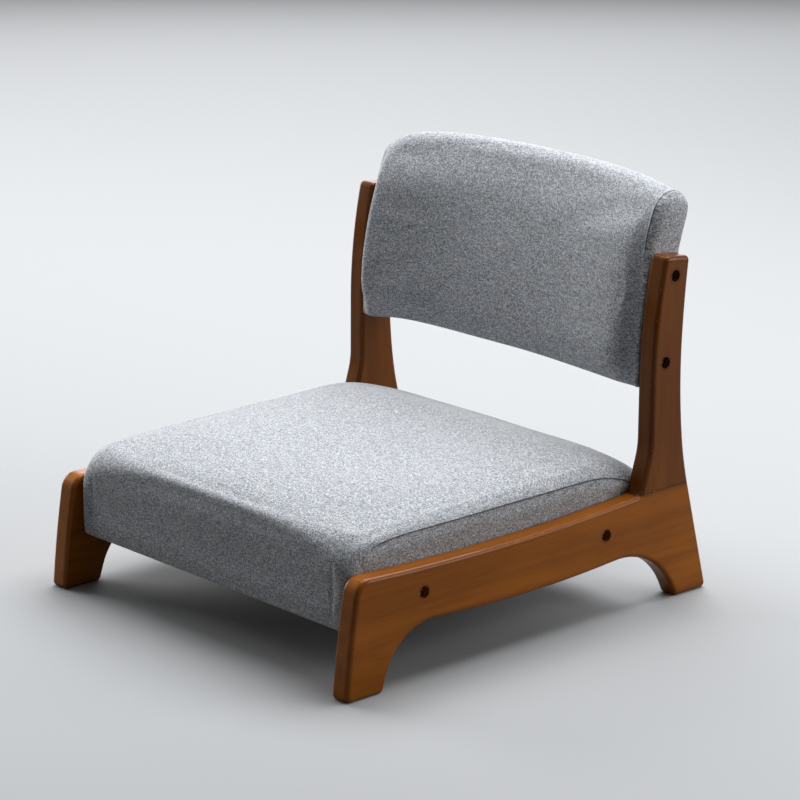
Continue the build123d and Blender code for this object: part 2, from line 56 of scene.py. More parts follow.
# %% [markdown]
# The helpers turn arrays into meshes. Points are one array of rows (x, y, z), faces are
# lists of point numbers, and each face corner gets a place on the flat cloth, in metres.
# Blender calls that a UV map, and the weave will follow it.

# %% Put arrays into a mesh
def into_scene(name, data):
    """An object that holds a mesh, a lamp or a camera."""
    thing = bpy.data.objects.new(name, data)
    bpy.context.scene.collection.objects.link(thing)
    return thing


def make_piece(name, points, faces, corner_uvs=None, smooth=True):
    """An object at the origin whose mesh holds the given points and faces."""
    mesh = bpy.data.meshes.new(name)
    mesh.from_pydata(np.asarray(points).tolist(), [], faces)
    if corner_uvs is not None:
        layer = mesh.uv_layers.new(name="cloth")
        layer.data.foreach_set("uv", np.asarray(corner_uvs, dtype=np.float32).ravel())
    mesh.polygons.foreach_set("use_smooth", np.full(len(mesh.polygons), smooth))
    mesh.update()
    return into_scene(name, mesh)


def read_rows(mesh, what):
    """The mesh's points, "co", or their outward unit normals, "normal", row by row."""
    flat = np.empty(len(mesh.vertices) * 3)
    mesh.vertices.foreach_get(what, flat)
    return flat.reshape(-1, 3)


def put_points(piece, points):
    """Writes the points back."""
    piece.data.vertices.foreach_set("co", np.asarray(points).ravel())
    piece.data.update()


def quads_of(grid, closed=False):
    """Quads between neighbours in a grid of point numbers. A closed grid's last column
    joins its first."""
    if closed:
        grid = np.concatenate([grid, grid[:, :1]], axis=1)
    quads = np.stack([grid[:-1, :-1], grid[:-1, 1:], grid[1:, 1:], grid[1:, :-1]], -1)
    return quads.reshape(-1, 4)


# %% [markdown]
# ## The shape of the seat
# The seat is foam on a wooden box under one tight cloth. Cut across, its top is a flat
# crown that falls steeply to a seam along each side. Cut lengthways, it has a round nose
# at the front, a long gentle shoulder, a level middle and a soft fall to the rear. It
# could be sculpted, but a formula keeps both halves equal and follows the CAD solid.

# %% Sizes of the seat, in metres
class Sizes:
    """Sizes that are read by name."""

    def __init__(self, **sizes):
        self.__dict__.update(sizes)


seat_low, seat_high = (np.array(corner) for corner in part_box("seat_cover_top"))
half_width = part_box("seat_cover_side_left")[1].x
seat = Sizes(
    front=seat_low[1], rear=seat_high[1], bottom=seat_low[2], parting_rise=0.045,
    seam_rise=0.0848, crown=0.0198, nose_reach=0.028, nose_drop=0.0065,
    nose_drop_crown=0.0015, shoulder_reach=0.097, shoulder_lift=0.0046, fall_reach=0.082,
    fall_radius=0.152, front_corner=0.009, rear_corner=0.006, hem=0.004, panel_puff=0.0022,
    rail_top=0.1195,
)
crown_power, crown_softness = 4, 2.2
station_count = 85
print("seat runs from", seat.front, "to", seat.rear, "half width", round(half_width, 4))


# %% [markdown]
# A skin is a grid. One direction runs across the chair through stations, the other runs
# round the cushion through points. The seams will need fine detail, so the stations stand
# closer together there, and they are spaced along the curve of the crown, not along X.

# %% Stations across the cushion
def crown_shape(share):
    """Height share of the crown: one minus a power of the share of the half width, to
    the power of one over its softness."""
    return (1 - np.abs(share) ** crown_power) ** (1 / crown_softness)


def stations_along(count, height):
    """Shares from -1 to 1 whose places along the crown's own curve are s plus 0.6 times
    the sine of pi s over pi."""
    angle = np.linspace(-np.pi / 2, np.pi / 2, 4001)
    share = np.sin(angle)
    run = np.hypot(np.diff(share * half_width), np.diff(crown_shape(share) * height))
    length = np.concatenate([[0], np.cumsum(run)])
    s = np.linspace(-1, 1, count)
    place = (1 + s + 0.6 * np.sin(np.pi * s) / np.pi) / 2
    return np.interp(place * length[-1], length, share)


seat_stations = stations_along(station_count, seat.crown)
print("stations:", len(seat_stations), "first gaps in mm:",
      np.round(np.diff(seat_stations[:4]) * half_width * 1000, 2))


# %% Small curves that both cushions use
def corner_setback(share, radius):
    """How far a round corner stands back: radius minus root(radius squared minus the
    square of the distance past the corner's start)."""
    past = np.clip(np.abs(share) * half_width - (half_width - radius), 0, radius)
    return radius - np.sqrt(radius**2 - past**2)


def arc(centre_y, centre_z, radius, start, end, count):
    """Points of an arc as centre plus radius times cosine and sine of an even angle."""
    angle = start + (end - start) * np.linspace(0, 1, count)
    return centre_y + radius * np.cos(angle), centre_z + radius * np.sin(angle)


def straight(y0, z0, y1, z1, count):
    """Evenly spaced points between two ends."""
    t = np.linspace(0, 1, count)
    return y0 * (1 - t) + y1 * t, z0 * (1 - t) + z1 * t


def ease(value, start, end):
    """Smooth step from 0 at the start to 1 at the end: three squares minus two cubes."""
    t = np.clip((value - start) / (end - start), 0, 1)
    return t * t * (3 - 2 * t)


def bell(value, centre, width):
    """Bell curve: e to the power of minus the square of the distance over the width."""
    return np.exp(-(((value - centre) / width) ** 2))


# %% Rows round the seat
def seat_rows(share):
    """Upper and lower rows of points from the middle of the front face to the middle of
    the rear face. The shares are a column, so that every array is station by row.

    The upper row is the nose's arc, the shoulder's arc, a level line and the rear arc.
    Beside the seams the shoulder is fuller, which lifts the seam by a bell curve.
    """
    full = crown_shape(share)
    top = seat.bottom + seat.seam_rise + seat.crown * full
    front = seat.front + corner_setback(share, seat.front_corner)
    rear = seat.rear - corner_setback(share, seat.rear_corner)
    drop = seat.nose_drop + seat.nose_drop_crown * full
    shoulder_radius = (seat.shoulder_reach**2 + drop**2) / (2 * drop)
    tilt = np.arcsin(seat.shoulder_reach / shoulder_radius)
    nose_radius = seat.nose_reach / (1 - np.sin(tilt))
    nose_y = front + nose_radius
    nose_z = top - drop - nose_radius * np.cos(tilt)
    shoulder_y = front + seat.nose_reach + seat.shoulder_reach
    fall_angle = math.asin(seat.fall_reach / seat.fall_radius)
    fall_z = top - seat.fall_radius * (1 - math.cos(fall_angle))
    fall_y = rear - seat.fall_reach
    middle = seat.bottom + seat.parting_rise
    upright = np.pi / 2
    front_count, rear_count = 6, 8
    parts = [
        straight(front, middle, front, nose_z, front_count),
        arc(nose_y, nose_z, nose_radius, np.pi, upright + tilt, 11),
        arc(shoulder_y, top - shoulder_radius, shoulder_radius, upright + tilt, upright, 17),
        straight(shoulder_y, top, fall_y, top, 34),
        arc(fall_y, top - seat.fall_radius, seat.fall_radius, upright, upright - fall_angle, 15),
        straight(rear, fall_z, rear, middle, rear_count),
    ]
    upper_y, upper_z = (
        np.concatenate([parts[0][n]] + [part[n][:, 1:] for part in parts[1:]], axis=1)
        for n in (0, 1)
    )
    behind = upper_y - front
    to_seam = half_width * (1 - np.abs(share))
    beside = ease(behind, 0, 0.024) * bell(behind, 0.030, 0.052) * bell(to_seam, 0, 0.006)
    upper_z += seat.shoulder_lift * beside
    reach = np.minimum(behind, rear - upper_y)
    past_hem = np.clip(1 - reach / seat.hem, 0, 1)
    lower_z = seat.bottom + seat.hem * (1 - np.sqrt(1 - past_hem**2))
    front_run = np.linspace(0, 1, front_count)
    rear_run = np.linspace(1, 0, rear_count)
    hem_z = seat.bottom + seat.hem
    lower_z[:, :front_count] = middle * (1 - front_run) + hem_z * front_run
    lower_z[:, -rear_count:] = middle * (1 - rear_run) + hem_z * rear_run
    x = share * half_width * np.ones_like(upper_y)
    return np.stack([x, upper_y, upper_z], -1), np.stack([x, upper_y, lower_z], -1)


upper, lower = seat_rows(seat_stations[:, None])
print("grid of the seat:", upper.shape, "crown at", round(upper[..., 2].max(), 4))

# %% [markdown]
# ## The shape of the back
# The back is bent in two ways. Seen from above it is a shallow bow that hugs the sitter,
# deeper at the top than at the bottom. Seen from the side it stands upright over the
# bolts and then curls away. Near each end the front face is pulled round into the seam,
# so the foam makes a soft pillow there.

# %% Sizes of the back, in metres
back_low, back_high = (np.array(corner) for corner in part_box("back_cover_wrap"))
back = Sizes(
    front=back_low[1] - 0.0014, bottom=back_low[2] - 0.0015, height=0.1905, crown=0.0047,
    thickness=0.051, upright=0.022, curl=0.031, front_bow=(0.018, 0.036),
    rear_bow=(0.024, 0.036), shoulder=0.017, hem=0.005, seam_x=0.1935, seam_middle=0.19735,
    sideways=-0.00385, seam_spread=0.0066, seam_back=0.0028, seam_tuck=0.0042,
    pillow=0.0110, pillow_length=0.042, end_x=0.2026, round_yz=0.012, panel_puff=0.0022,
    droop=0.0055, crest_droop=0.0040, far_tuck=0.0065, far_corner=0.0060,
    droop_length=0.040,
)
print("back stands from", round(back.bottom, 4), "to", round(back_high[2], 4))


# %% Rows round the back
def back_rows(share):
    """Front and rear rows of points from the middle of the underside to the crest.

    A face's y is its foot's y, plus the bow times one minus the share squared, plus a
    lean that grows with the square of the height above the upright part. The pillow is
    a power curve of the distance from the seam, shorter at the far end. The top is two
    arcs that are level where they meet. The cover sits a little sideways, and its far end
    droops by a bell curve and has a rounder corner. Where the near post presses on the
    end, the seam stands further out and is tucked back.
    """
    x = share * back.seam_middle + back.sideways
    belly = 1 - (x / half_width) ** 2
    inward = back.seam_middle * (1 - np.abs(share))
    length = back.pillow_length * (1 + share * 0.4) / 1.4
    to_seam = np.clip(inward / length, 0, 1)
    pillow = 1 - (1 - to_seam) ** 2.2 - 0.35 * ease(inward, back.pillow_length, 0.120)
    far = bell(share + 1, 0, back.droop_length / half_width)
    low = back.bottom - back.droop * far
    crown = back.crown * (1 - np.abs(x / half_width) ** 3)
    near = ease(share, -1, 1)
    corner = bell(inward, 0, 0.008) * (1 - near)
    crest_z = back.bottom + back.height + crown - back.crest_droop * far
    crest_z -= back.far_corner * corner
    high = crest_z - back.shoulder
    full = back.height - back.shoulder - back.upright

    def face(z, start, bow):
        rise = z - back.bottom - back.upright
        lean = back.curl * rise * np.abs(rise) / full**2
        depth = bow[0] + (bow[1] - bow[0]) * (z - back.bottom) / back.height
        return start + depth * belly + lean

    wall_count, hem_count, dome_count = 34, 5, 14
    foot = low + back.hem
    t = np.linspace(0, 1, wall_count)
    wall_z = foot * (1 - t) + high * t
    front_y = face(wall_z, back.front + back.seam_back, back.front_bow)
    rear_y = face(wall_z, back.front + back.thickness - back.seam_back / 2, back.rear_bow)
    crest_y = (front_y[:, -1:] + rear_y[:, -1:]) / 2
    under_y = (front_y[:, :1] + rear_y[:, :1]) / 2
    rows = []
    for wall_y, side in ((front_y, -1), (rear_y, 1)):
        hem_y = wall_y[:, :1] - side * back.hem
        flat = np.linspace(0, 1, hem_count)[:-1]
        curve = flat * np.pi / 2
        flat_y = under_y * (1 - flat) + hem_y * flat
        hem_turn_y = hem_y + side * back.hem * np.sin(curve)
        hem_turn_z = low + back.hem * (1 - np.cos(curve))
        reach = np.abs(wall_y[:, -1:] - crest_y)
        radius = (reach**2 + back.shoulder**2) / (2 * back.shoulder)
        angle = np.arcsin(np.clip(reach / radius, 0, 1)) * np.linspace(1, 0, dome_count)[1:]
        dome_y = crest_y + side * radius * np.sin(angle)
        dome_z = crest_z - radius * (1 - np.cos(angle))
        y = np.concatenate([flat_y, hem_turn_y, wall_y, dome_y], axis=1)
        z = np.concatenate([low + 0 * flat_y, hem_turn_z, wall_z, dome_z], axis=1)
        above = z - back.bottom
        window = ease(above, -back.hem, 0.035) * (1 - ease(above, 0.150, 0.184))
        depth = back.pillow if side < 0 else back.seam_back / 2
        y += side * depth * window * pillow
        pressed = 1 - ease(above, 0.080, 0.160)
        if side < 0:
            y += back.seam_tuck * pressed * (near * bell(inward, 0, 0.020))
            y += back.far_tuck * corner
        spread = back.seam_spread * pressed * near
        rows.append(np.stack([x + spread, y, z], -1))
    return rows[0], rows[1]


back_stations = stations_along(station_count, 0.0)
front_rows, rear_rows = back_rows(back_stations[:, None])
print("grid of the back:", front_rows.shape)

# %% [markdown]
# ## From rows to a closed skin
# Both cushions are closed the same way. The two sets of rows make one loop round each
# station, and the last loops are closed by end panels whose points lie between the rows.
# All neighbours share their points, so nothing gapes when the skin is blown up. A few
# rounds of averaging along each loop take the last hard corners off, as thick foam does.

# %% Helpers for grids
def doubled(values, axis, closed=False):
    """A grid with a new point between each two, as nine sixteenths of the two near
    neighbours minus one sixteenth of the two far ones."""
    values = np.moveaxis(values, axis, 0)
    before, after = values[-1:], values[:2]
    if not closed:
        before, after = 2 * values[:1] - values[1:2], 2 * values[-1:] - values[-2:-1]
    padded = np.concatenate([before, values, after])
    middle = (9 * (padded[1:-2] + padded[2:-1]) - padded[:-3] - padded[3:]) / 16
    count = len(middle)
    pairs = np.stack([values[:count], middle], 1).reshape(-1, *values.shape[1:])
    return np.moveaxis(np.concatenate([pairs, values[count:]]), 0, axis)


def averaged(loops, rounds, above):
    """Each point moves to half itself plus a quarter of each neighbour on its loop. After
    two rounds only points above a height move on."""
    free = ease(loops[..., 2:], above, above + 0.03)
    for number in range(rounds):
        middle = (np.roll(loops, 1, 1) + np.roll(loops, -1, 1)) / 2
        loops = loops + (middle - loops) / 2 * (1 if number < 2 else free)
    return loops


# %% Build the closed skin
class Skin:
    """A closed cushion skin: loops of points by station, and a panel grid at each end.
    Panel 0 closes the first loop and panel 1 the last, so panel i closes loop -i. A
    panel's points stand closer together near its rows: their share of the way is half of
    one minus the cosine of an even angle."""

    def __init__(self, rows_a, rows_b, panel_columns, rounds, above, puff):
        loops = np.concatenate([rows_a, rows_b[:, -2:0:-1]], axis=1)
        self.loops = averaged(loops, rounds, above)
        self.rows = rows_a.shape[1]
        self.panels = []
        t = (1 - np.cos(np.linspace(0, np.pi, panel_columns + 2)))[None, 1:-1, None] / 2
        for i, side in enumerate((-1, 1)):
            row_a, row_b = (row[1:-1, None] for row in self.two_rows(self.loops[-i]))
            grid = row_a * (1 - t) + row_b * t
            grid[..., 0] += side * puff(grid, self.loops[-i])
            self.panels.append(grid)

    def two_rows(self, loop):
        """The two rows of a loop, with the same first and last points."""
        return loop[: self.rows], np.concatenate([loop[:1], loop[: self.rows - 2 : -1]])

    def points(self):
        """All points, loops first."""
        parts = [self.loops.reshape(-1, 3)] + [p.reshape(-1, 3) for p in self.panels]
        return np.concatenate(parts)

    def set_points(self, points):
        """Takes all points back, in the order of points()."""
        grids = [self.loops] + self.panels
        starts = np.cumsum([grid[..., 0].size for grid in grids])[:-1]
        parts = np.split(points, starts)
        self.loops, *self.panels = (p.reshape(g.shape) for p, g in zip(parts, grids))

    def refine(self):
        """Doubles the grid along both directions."""
        self.rows = self.rows * 2 - 1
        self.loops = doubled(doubled(self.loops, 0), 1, closed=True)
        for i, panel in enumerate(self.panels):
            row_a, row_b = self.two_rows(self.loops[-i])
            old = np.concatenate([row_a[2:-2:2, None], panel, row_b[2:-2:2, None]], axis=1)
            first, last = (np.repeat(row_a[n][None, None], old.shape[1], 1) for n in (0, -1))
            whole = np.concatenate([first, old, last])
            self.panels[i] = doubled(doubled(whole, 0), 1)[1:-1, 1:-1]

    def faces(self):
        """Faces of the wrap and of the two panels, as point numbers."""
        first = self.loops[..., 0].size
        number = np.arange(first).reshape(self.loops.shape[:2])
        panels = []
        for i, panel in enumerate(self.panels):
            inner = first + np.arange(panel[..., 0].size).reshape(panel.shape[:2])
            first += inner.size
            row_a, row_b = self.two_rows(number[-i])
            grid = np.concatenate([row_a[1:-1, None], inner, row_b[1:-1, None]], axis=1)
            low, high = grid[0], grid[-1]
            tip_a = np.stack([0 * low[:-1] + row_a[0], low[1:], low[:-1]], -1)
            tip_b = np.stack([high[:-1], high[1:], 0 * high[1:] + row_a[-1]], -1)
            turn = 1 if i == 0 else -1
            panels.append([group[:, ::turn] for group in (quads_of(grid), tip_a, tip_b)])
        return quads_of(number, closed=True), panels


def face_lists(skin):
    """All faces as lists, wrap first."""
    wrap, panels = skin.faces()
    return wrap.tolist() + [f for group in panels for part in group for f in part.tolist()]


# %% Close both skins
def seat_puff(grid, ring):
    """The seat's side cloth stands out over the rail: half a sine wave between the rail's
    top and the seam."""
    rail_top = seat.rail_top
    seam_z = ring[1 : len(grid) + 1, None, 2]
    share = np.clip((grid[..., 2] - rail_top) / (seam_z - rail_top), 0, 1)
    return seat.panel_puff * np.sin(np.pi * share) * ease(seam_z, rail_top, 0.134)


def back_puff(grid, ring):
    """The back's end cloth turns round the corner in a quarter of a squarish ellipse, by
    its distance from the seam, and at the near end stands out more above the post."""
    gap = np.linalg.norm((grid[:, :, None] - ring[None, None])[..., 1:], axis=-1).min(-1)
    room = back.end_x - np.abs(grid[..., 0])
    reach = back.round_yz * room / (back.end_x - back.seam_x)
    past = np.clip(1 - gap / np.maximum(reach, 0.002), 0, 1)
    free = ease(grid[..., 2], 0.362, 0.385) * ease(grid[..., 0], -0.1, 0.1)
    return room * np.sqrt(1 - past**3) + back.panel_puff * free * ease(gap, 0, 0.02)


seat_skin = Skin(upper, lower, panel_columns=15, rounds=3, above=0.0, puff=seat_puff)
back_skin = Skin(front_rows, rear_rows, panel_columns=13, rounds=8, above=0.33, puff=back_puff)
print("seat skin points:", len(seat_skin.points()), "back skin points:", len(back_skin.points()))

# %% [markdown]
# ## Blowing up the cloth
# A cushion's cloth is sewn a little too small and the foam pushes it tight. A cloth
# simulation does the same: the skin starts slightly drawn in, the seams, the end panels
# and the hidden underside are pinned, and air pressure fills it. Each point's move is
# then capped, and only a share of its distance from the foam's form is kept.

# %% Simulate one cushion
cloth_settings = {
    "quality": 5, "mass": 0.2, "tension_stiffness": 60, "compression_stiffness": 60,
    "shear_stiffness": 20, "bending_stiffness": 2, "use_pressure": True,
    "uniform_pressure_force": 2.0, "vertex_group_mass": "sewn",
}
last_frame = 20
draw_in = 0.0042
largest_move = 0.0045
pinned_reach = 0.02


def blow_up(name, skin, free, kept_share):
    """The skin's points after the simulation. free is from 0, pinned, to 1. A move m
    becomes the cap times the hyperbolic tangent of m over the cap."""
    target = skin.points()
    piece = make_piece(name, target, face_lists(skin))
    start = target - read_rows(piece.data, "normal") * (draw_in * free)[:, None]
    put_points(piece, start)
    group = piece.vertex_groups.new(name="sewn")
    pinned = np.round(1 - free, 2)
    for level in np.unique(pinned[pinned > 0]):
        group.add(np.flatnonzero(pinned == level).tolist(), float(level), "REPLACE")
    cloth = piece.modifiers.new("cloth", "CLOTH")
    for key, value in cloth_settings.items():
        setattr(cloth.settings, key, value)
    cloth.settings.effector_weights.gravity = 0
    cloth.point_cache.frame_start = 1
    cloth.point_cache.frame_end = last_frame
    scene = bpy.context.scene
    for number in range(1, last_frame + 1):
        scene.frame_set(number)
    graph = bpy.context.evaluated_depsgraph_get()
    move = read_rows(piece.evaluated_get(graph).to_mesh(), "co") - start
    scene.frame_set(1)
    bpy.data.objects.remove(piece)
    length = np.linalg.norm(move, axis=1)
    kept = largest_move * np.tanh(length / largest_move) / np.maximum(length, 1e-9)
    result = target + (start + move * kept[:, None] - target) * kept_share
    off = np.linalg.norm(result - target, axis=1)
    print(name, "moved up to", round(length.max() * 1000, 1), "mm; kept at most",
          round(off.max() * 1000, 2), "mm from the foam's form")
    return result


def freedom(skin, bottom):
    """1 where the cloth may move, 0 at the seams, on the end panels and on the underside,
    smooth between."""
    to_seam = np.abs(skin.loops[-1, :, 0]) - np.abs(skin.loops[..., 0])
    free = ease(to_seam, 0, pinned_reach) * ease(skin.loops[..., 2] - bottom, 0, pinned_reach)
    zeros = [np.zeros(panel[..., 0].size) for panel in skin.panels]
    return np.concatenate([free.ravel()] + zeros)


for name, skin, form, kept_share in (("seat_trial", seat_skin, seat, 0.7),
                                     ("back_trial", back_skin, back, 0.45)):
    free = freedom(skin, form.bottom + 0.004)
    skin.set_points(blow_up(name, skin, free, kept_share))

# %% [markdown]
# ## Seams
# The panels are sewn edge to edge with the wrap, and the seam allowance is turned inside.
# What shows is a narrow line with the thread hidden in it, in a wider soft valley, and
# the cloth beside it gathers a little between stitches. The grid is doubled first, so
# that the valley has points to bend. Each depth falls off as a bell curve.

# %% Cut the seams into the skins
def seam_distance(skin):
    """Distance of each point from the nearer seam, along the cloth, and the place along
    the seam."""
    step = np.linalg.norm(np.diff(skin.loops, axis=0), axis=-1)
    from_start = np.concatenate([0 * step[:1], np.cumsum(step, 0)])
    near = np.minimum(from_start, from_start[-1:] - from_start)
    run = np.linalg.norm(np.diff(skin.loops, axis=1, append=skin.loops[:, :1]), axis=-1)
    along = np.cumsum(run, 1)
    parts, places = [near.ravel()], [along.ravel()]
    for i, panel in enumerate(skin.panels):
        gap = np.linalg.norm(panel[:, :, None] - skin.loops[-i][None, None], axis=-1)
        parts.append(gap.min(-1).ravel())
        places.append(along[-i][gap.argmin(-1)].ravel())
    return np.concatenate(parts), np.concatenate(places)


line_width = 0.0011
stitch_waves = (0.0117, 0.0193)
gather_reach = 0.007


def seam_depth(distance, place, line, valley, width, gather):
    """A narrow line, a wide valley, and ripples from two sine waves beside the seam."""
    depth = line * bell(distance, 0, line_width) + valley * bell(distance, 0, width)
    one, other = (place * 2 * np.pi / wave for wave in stitch_waves)
    ripple = np.sin(one) + 0.7 * np.sin(other + 1.3)
    beside = np.exp(-distance / gather_reach) * ease(distance, 0.0004, 0.003)
    return depth + gather * ripple * beside


panel_shifts = (1.3, 2.6)


def cloth_uvs(skin):
    """Places on the flat cloth for each face corner: arc lengths on the wrap, and the
    panel's own y and z, moved to one side so that its weave doesn't run on."""
    middle = skin.loops[len(skin.loops) // 2]
    run = np.linalg.norm(np.diff(middle, axis=0, append=middle[:1]), axis=-1)
    v = np.concatenate([[0], np.cumsum(run)])
    step = np.linalg.norm(np.diff(skin.loops[:, : skin.rows], axis=0), axis=-1).mean(1)
    u = np.concatenate([[0], np.cumsum(step)])
    flat = np.stack(np.meshgrid(u, v, indexing="ij"), -1)
    corners = quads_of(np.arange(u.size * v.size).reshape(u.size, v.size)).ravel()
    parts = [flat.reshape(-1, 2)[corners]]
    everything = skin.points()
    for group, offset in zip(skin.faces()[1], panel_shifts):
        for faces in group:
            spots = everything[faces.reshape(-1)]
            parts.append(np.stack([spots[:, 1] + offset, spots[:, 2]], -1))
    return np.concatenate(parts)


# %% [markdown]
# Cloth on foam is never quite even. Two long, very low waves are added along each face,
# and on the seat the edge of the inner fold prints through as a faint upright ridge near
# each front corner.

# %% Small unevenness
unevenness_height = 0.0005
ridge_height, ridge_inset, ridge_width = 0.0011, 0.021, 0.0026


def seat_unevenness(points):
    """Two crossed sine waves, and a ridge at a set distance from each front corner."""
    x, y, z = points.T
    wave = np.sin(x * 31 + 2 * np.sin(y * 13)) * np.sin(y * 27 + 1.1 + np.sin(x * 17))
    on_front = bell(y, seat.front, 0.006) * ease(z, 0.066, 0.078) * (1 - ease(z, 0.112, 0.130))
    ridge = bell(np.abs(x), half_width - ridge_inset, ridge_width) * on_front
    return unevenness_height * wave * ease(z, 0.07, 0.1) + ridge_height * ridge


def back_unevenness(points):
    """Two crossed sine waves."""
    x, y, z = points.T
    one, other = np.sin(x * 26 + 1.5 * np.sin(z * 24)), np.sin(z * 37 + 0.7 + np.sin(x * 15))
    return unevenness_height * one * other


# %% [markdown]
# The boards and posts stand close beside the cushions, and wood doesn't give way. A ray
# from the middle of the chair finds the wood's inner face at each point's height and
# depth, and a point past that face comes back to a small gap before it.

# %% Keep the cloth clear of the wood
wood_gap = 0.0002


def clear_of_wood(points, kind):
    """Each X is at most that of the wood's inner face, less the gap, on either side."""
    graph = bpy.context.evaluated_depsgraph_get()
    clear = points.copy()
    for side, hand in ((1.0, "left"), (-1.0, "right")):
        tree = BVHTree.FromObject(bpy.data.objects[kind + hand], graph)
        inner = min(abs(corner.x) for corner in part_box(kind + hand))
        ray = Vector((side, 0, 0))
        for i in np.flatnonzero(points[:, 0] * side > inner - wood_gap):
            hit = tree.ray_cast(Vector((0, points[i, 1], points[i, 2])), ray)[0]
            if hit is not None:
                clear[i, 0] = side * min(clear[i, 0] * side, hit.x * side - wood_gap)
    moved = np.abs(clear - points)[:, 0]
    print(kind + "*:", (moved > 0).sum(), "points moved, at most",
          round(moved.max() * 1000, 2), "mm")
    return clear


# %% Finish a cushion
def finish_cushion(name, skin, depths, unevenness, shown):
    """The doubled skin as a piece with its seams, and its distance from the seam stored
    for the cloth's material."""
    skin.refine()
    faces = face_lists(skin)
    points = skin.points()
    piece = make_piece(name, points, faces, cloth_uvs(skin))
    distance, place = seam_distance(skin)
    sunk = seam_depth(distance, place, **depths) * shown(points)
    lifted = unevenness(points) * ease(distance, 0, 0.012)
    finished = points + read_rows(piece.data, "normal") * (lifted - sunk)[:, None]
    for kind in ("side_frame_", "back_post_"):
        finished = clear_of_wood(finished, kind)
    put_points(piece, finished)
    layer = piece.data.attributes.new("seam", "FLOAT", "POINT")
    hidden = 0.002 * (1 - shown(points))
    layer.data.foreach_set("value", (distance + hidden).astype(np.float32))
    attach(piece, "root")
    print(name, "has", len(faces), "faces")
    return piece


def seat_seam_shown(points):
    """The seam fades out under the seat and down the front corners, where the cloth is
    pulled round tightly."""
    y, z = points.T[1:]
    fades = ease(y, seat.front + 0.012, seat.front + 0.045)
    return ease(z, seat.bottom + 0.004, seat.bottom + 0.014) * (0.25 + 0.75 * fades)


def back_seam_shown(points):
    """The seam is open above the near post, and pressed shut below and at the far end."""
    return 0.2 + 0.8 * ease(points[:, 2], 0.330, 0.375) * ease(points[:, 0], -0.1, 0.1)


seat_seam = {"line": 0.0012, "valley": 0.0006, "width": 0.0065, "gather": 0.00012}
back_seam = {"line": 0.0011, "valley": 0.0005, "width": 0.0045, "gather": 0.00012}
seat_cushion = finish_cushion("seat_cushion", seat_skin, seat_seam, seat_unevenness,
                              seat_seam_shown)
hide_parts("seat_cover_top", "seat_cover_side_left", "seat_cover_side_right",
            "seat_foam")
back_cushion = finish_cushion("back_cushion", back_skin, back_seam, back_unevenness,
                              back_seam_shown)
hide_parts("back_cover_wrap", "back_cover_end_left", "back_cover_end_right",
            "back_foam_front", "back_foam_rear")

# %% [markdown]
# ## The cloth under the seat
# Thin black cloth closes the underside and hides the edges of the cover. Its edge is
# folded in and stapled all round, so it is tight at the staples and hangs a hair lower
# in the middle.

# %% Dust cloth
under_low, under_high = (np.array(corner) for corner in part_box("seat_dust_cover"))
staple_pitch = 0.045


def dust_cloth():
    """A grid whose height is the underside minus a sag, the square root of the product of
    two half sine waves, with pulls at the staples and a fold of cloth along its edge."""
    u = np.linspace(0, 1, 121)
    uu, vv = np.meshgrid(u, u, indexing="ij")
    x, y = (low + t * (high - low) for t, low, high in zip((uu, vv), under_low, under_high))
    edge = np.minimum.reduce([x - under_low[0], under_high[0] - x,
                              y - under_low[1], under_high[1] - y])
    sag = 0.0018 * np.sqrt(np.sin(uu * np.pi) * np.sin(vv * np.pi))
    pull = 0.0005 * np.cos((x + y) * 2 * np.pi / staple_pitch) * bell(edge, 0.014, 0.010)
    fold = 0.0004 * (1 - ease(edge, 0.011, 0.013))
    z = under_low[2] + 0.0002 - sag - fold + pull * ease(edge, 0.004, 0.012)
    points = np.stack([x, y, z], -1).reshape(-1, 3)
    quads = quads_of(np.arange(len(points)).reshape(uu.shape))
    piece = make_piece("dust_cloth", points, quads.tolist(), points[quads.ravel()][:, :2])
    skin = piece.modifiers.new("cloth_thickness", "SOLIDIFY")
    skin.thickness = 0.0005
    skin.offset = -1
    return piece


dust = dust_cloth()
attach(dust, "root")
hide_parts("seat_dust_cover")
print("dust cloth:", np.round(under_high - under_low, 4))


# %% [markdown]
# Staples hold the dust cloth. One staple's visible part is its crown, a flat wire 10 mm
# long that bends up into the cloth at both ends, so one small profile is carried along a
# short path and then repeated along the four edges.

# %% Staples
def staples(inset):
    """Crowns round the dust cloth. Each is a strip of seven cross-sections whose height
    rises with the fourth power of the distance from its middle."""
    run = np.array([-0.0052, -0.0047, -0.0025, 0.0, 0.0025, 0.0047, 0.0052])
    ring = np.array([[-0.0006, 0.0], [-0.0004, -0.0005], [0.0004, -0.0005], [0.0006, 0.0]])
    lift = 0.0009 * (run / run[-1]) ** 4
    along = np.repeat(run[:, None], len(ring), 1)
    side = np.repeat(ring[None, :, 0], len(run), 0)
    down = ring[None, :, 1] + lift[:, None]
    grid = np.arange(along.size).reshape(along.shape)
    one = np.concatenate([quads_of(grid, closed=True), grid[:1, ::-1], grid[-1:]])
    low, high = under_low + inset, under_high - inset
    points, faces = [], []
    for a, (start, end) in enumerate(((low[0], high[0]), (low[1], high[1]))):
        count = int(round((end - start) / staple_pitch))
        spots = start + (np.arange(count) + 0.5) * (end - start) / count
        for other in (low[1 - a], high[1 - a]):
            for spot in spots:
                x, y = (spot, other) if a == 0 else (other, spot)
                dx, dy = (along, side) if a == 0 else (side, along)
                faces += (one[:, :: 1 - 2 * a] + len(points) * grid.size).tolist()
                crown = np.stack([x + dx, y + dy, under_low[2] - 0.0006 + down], -1)
                points.append(crown.reshape(-1, 3))
    piece = make_piece("dust_cloth_staples", np.concatenate(points), faces, smooth=False)
    return piece, len(points)


staple_piece, staple_count = staples(0.006)
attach(staple_piece, "root")
print("staples:", staple_count)


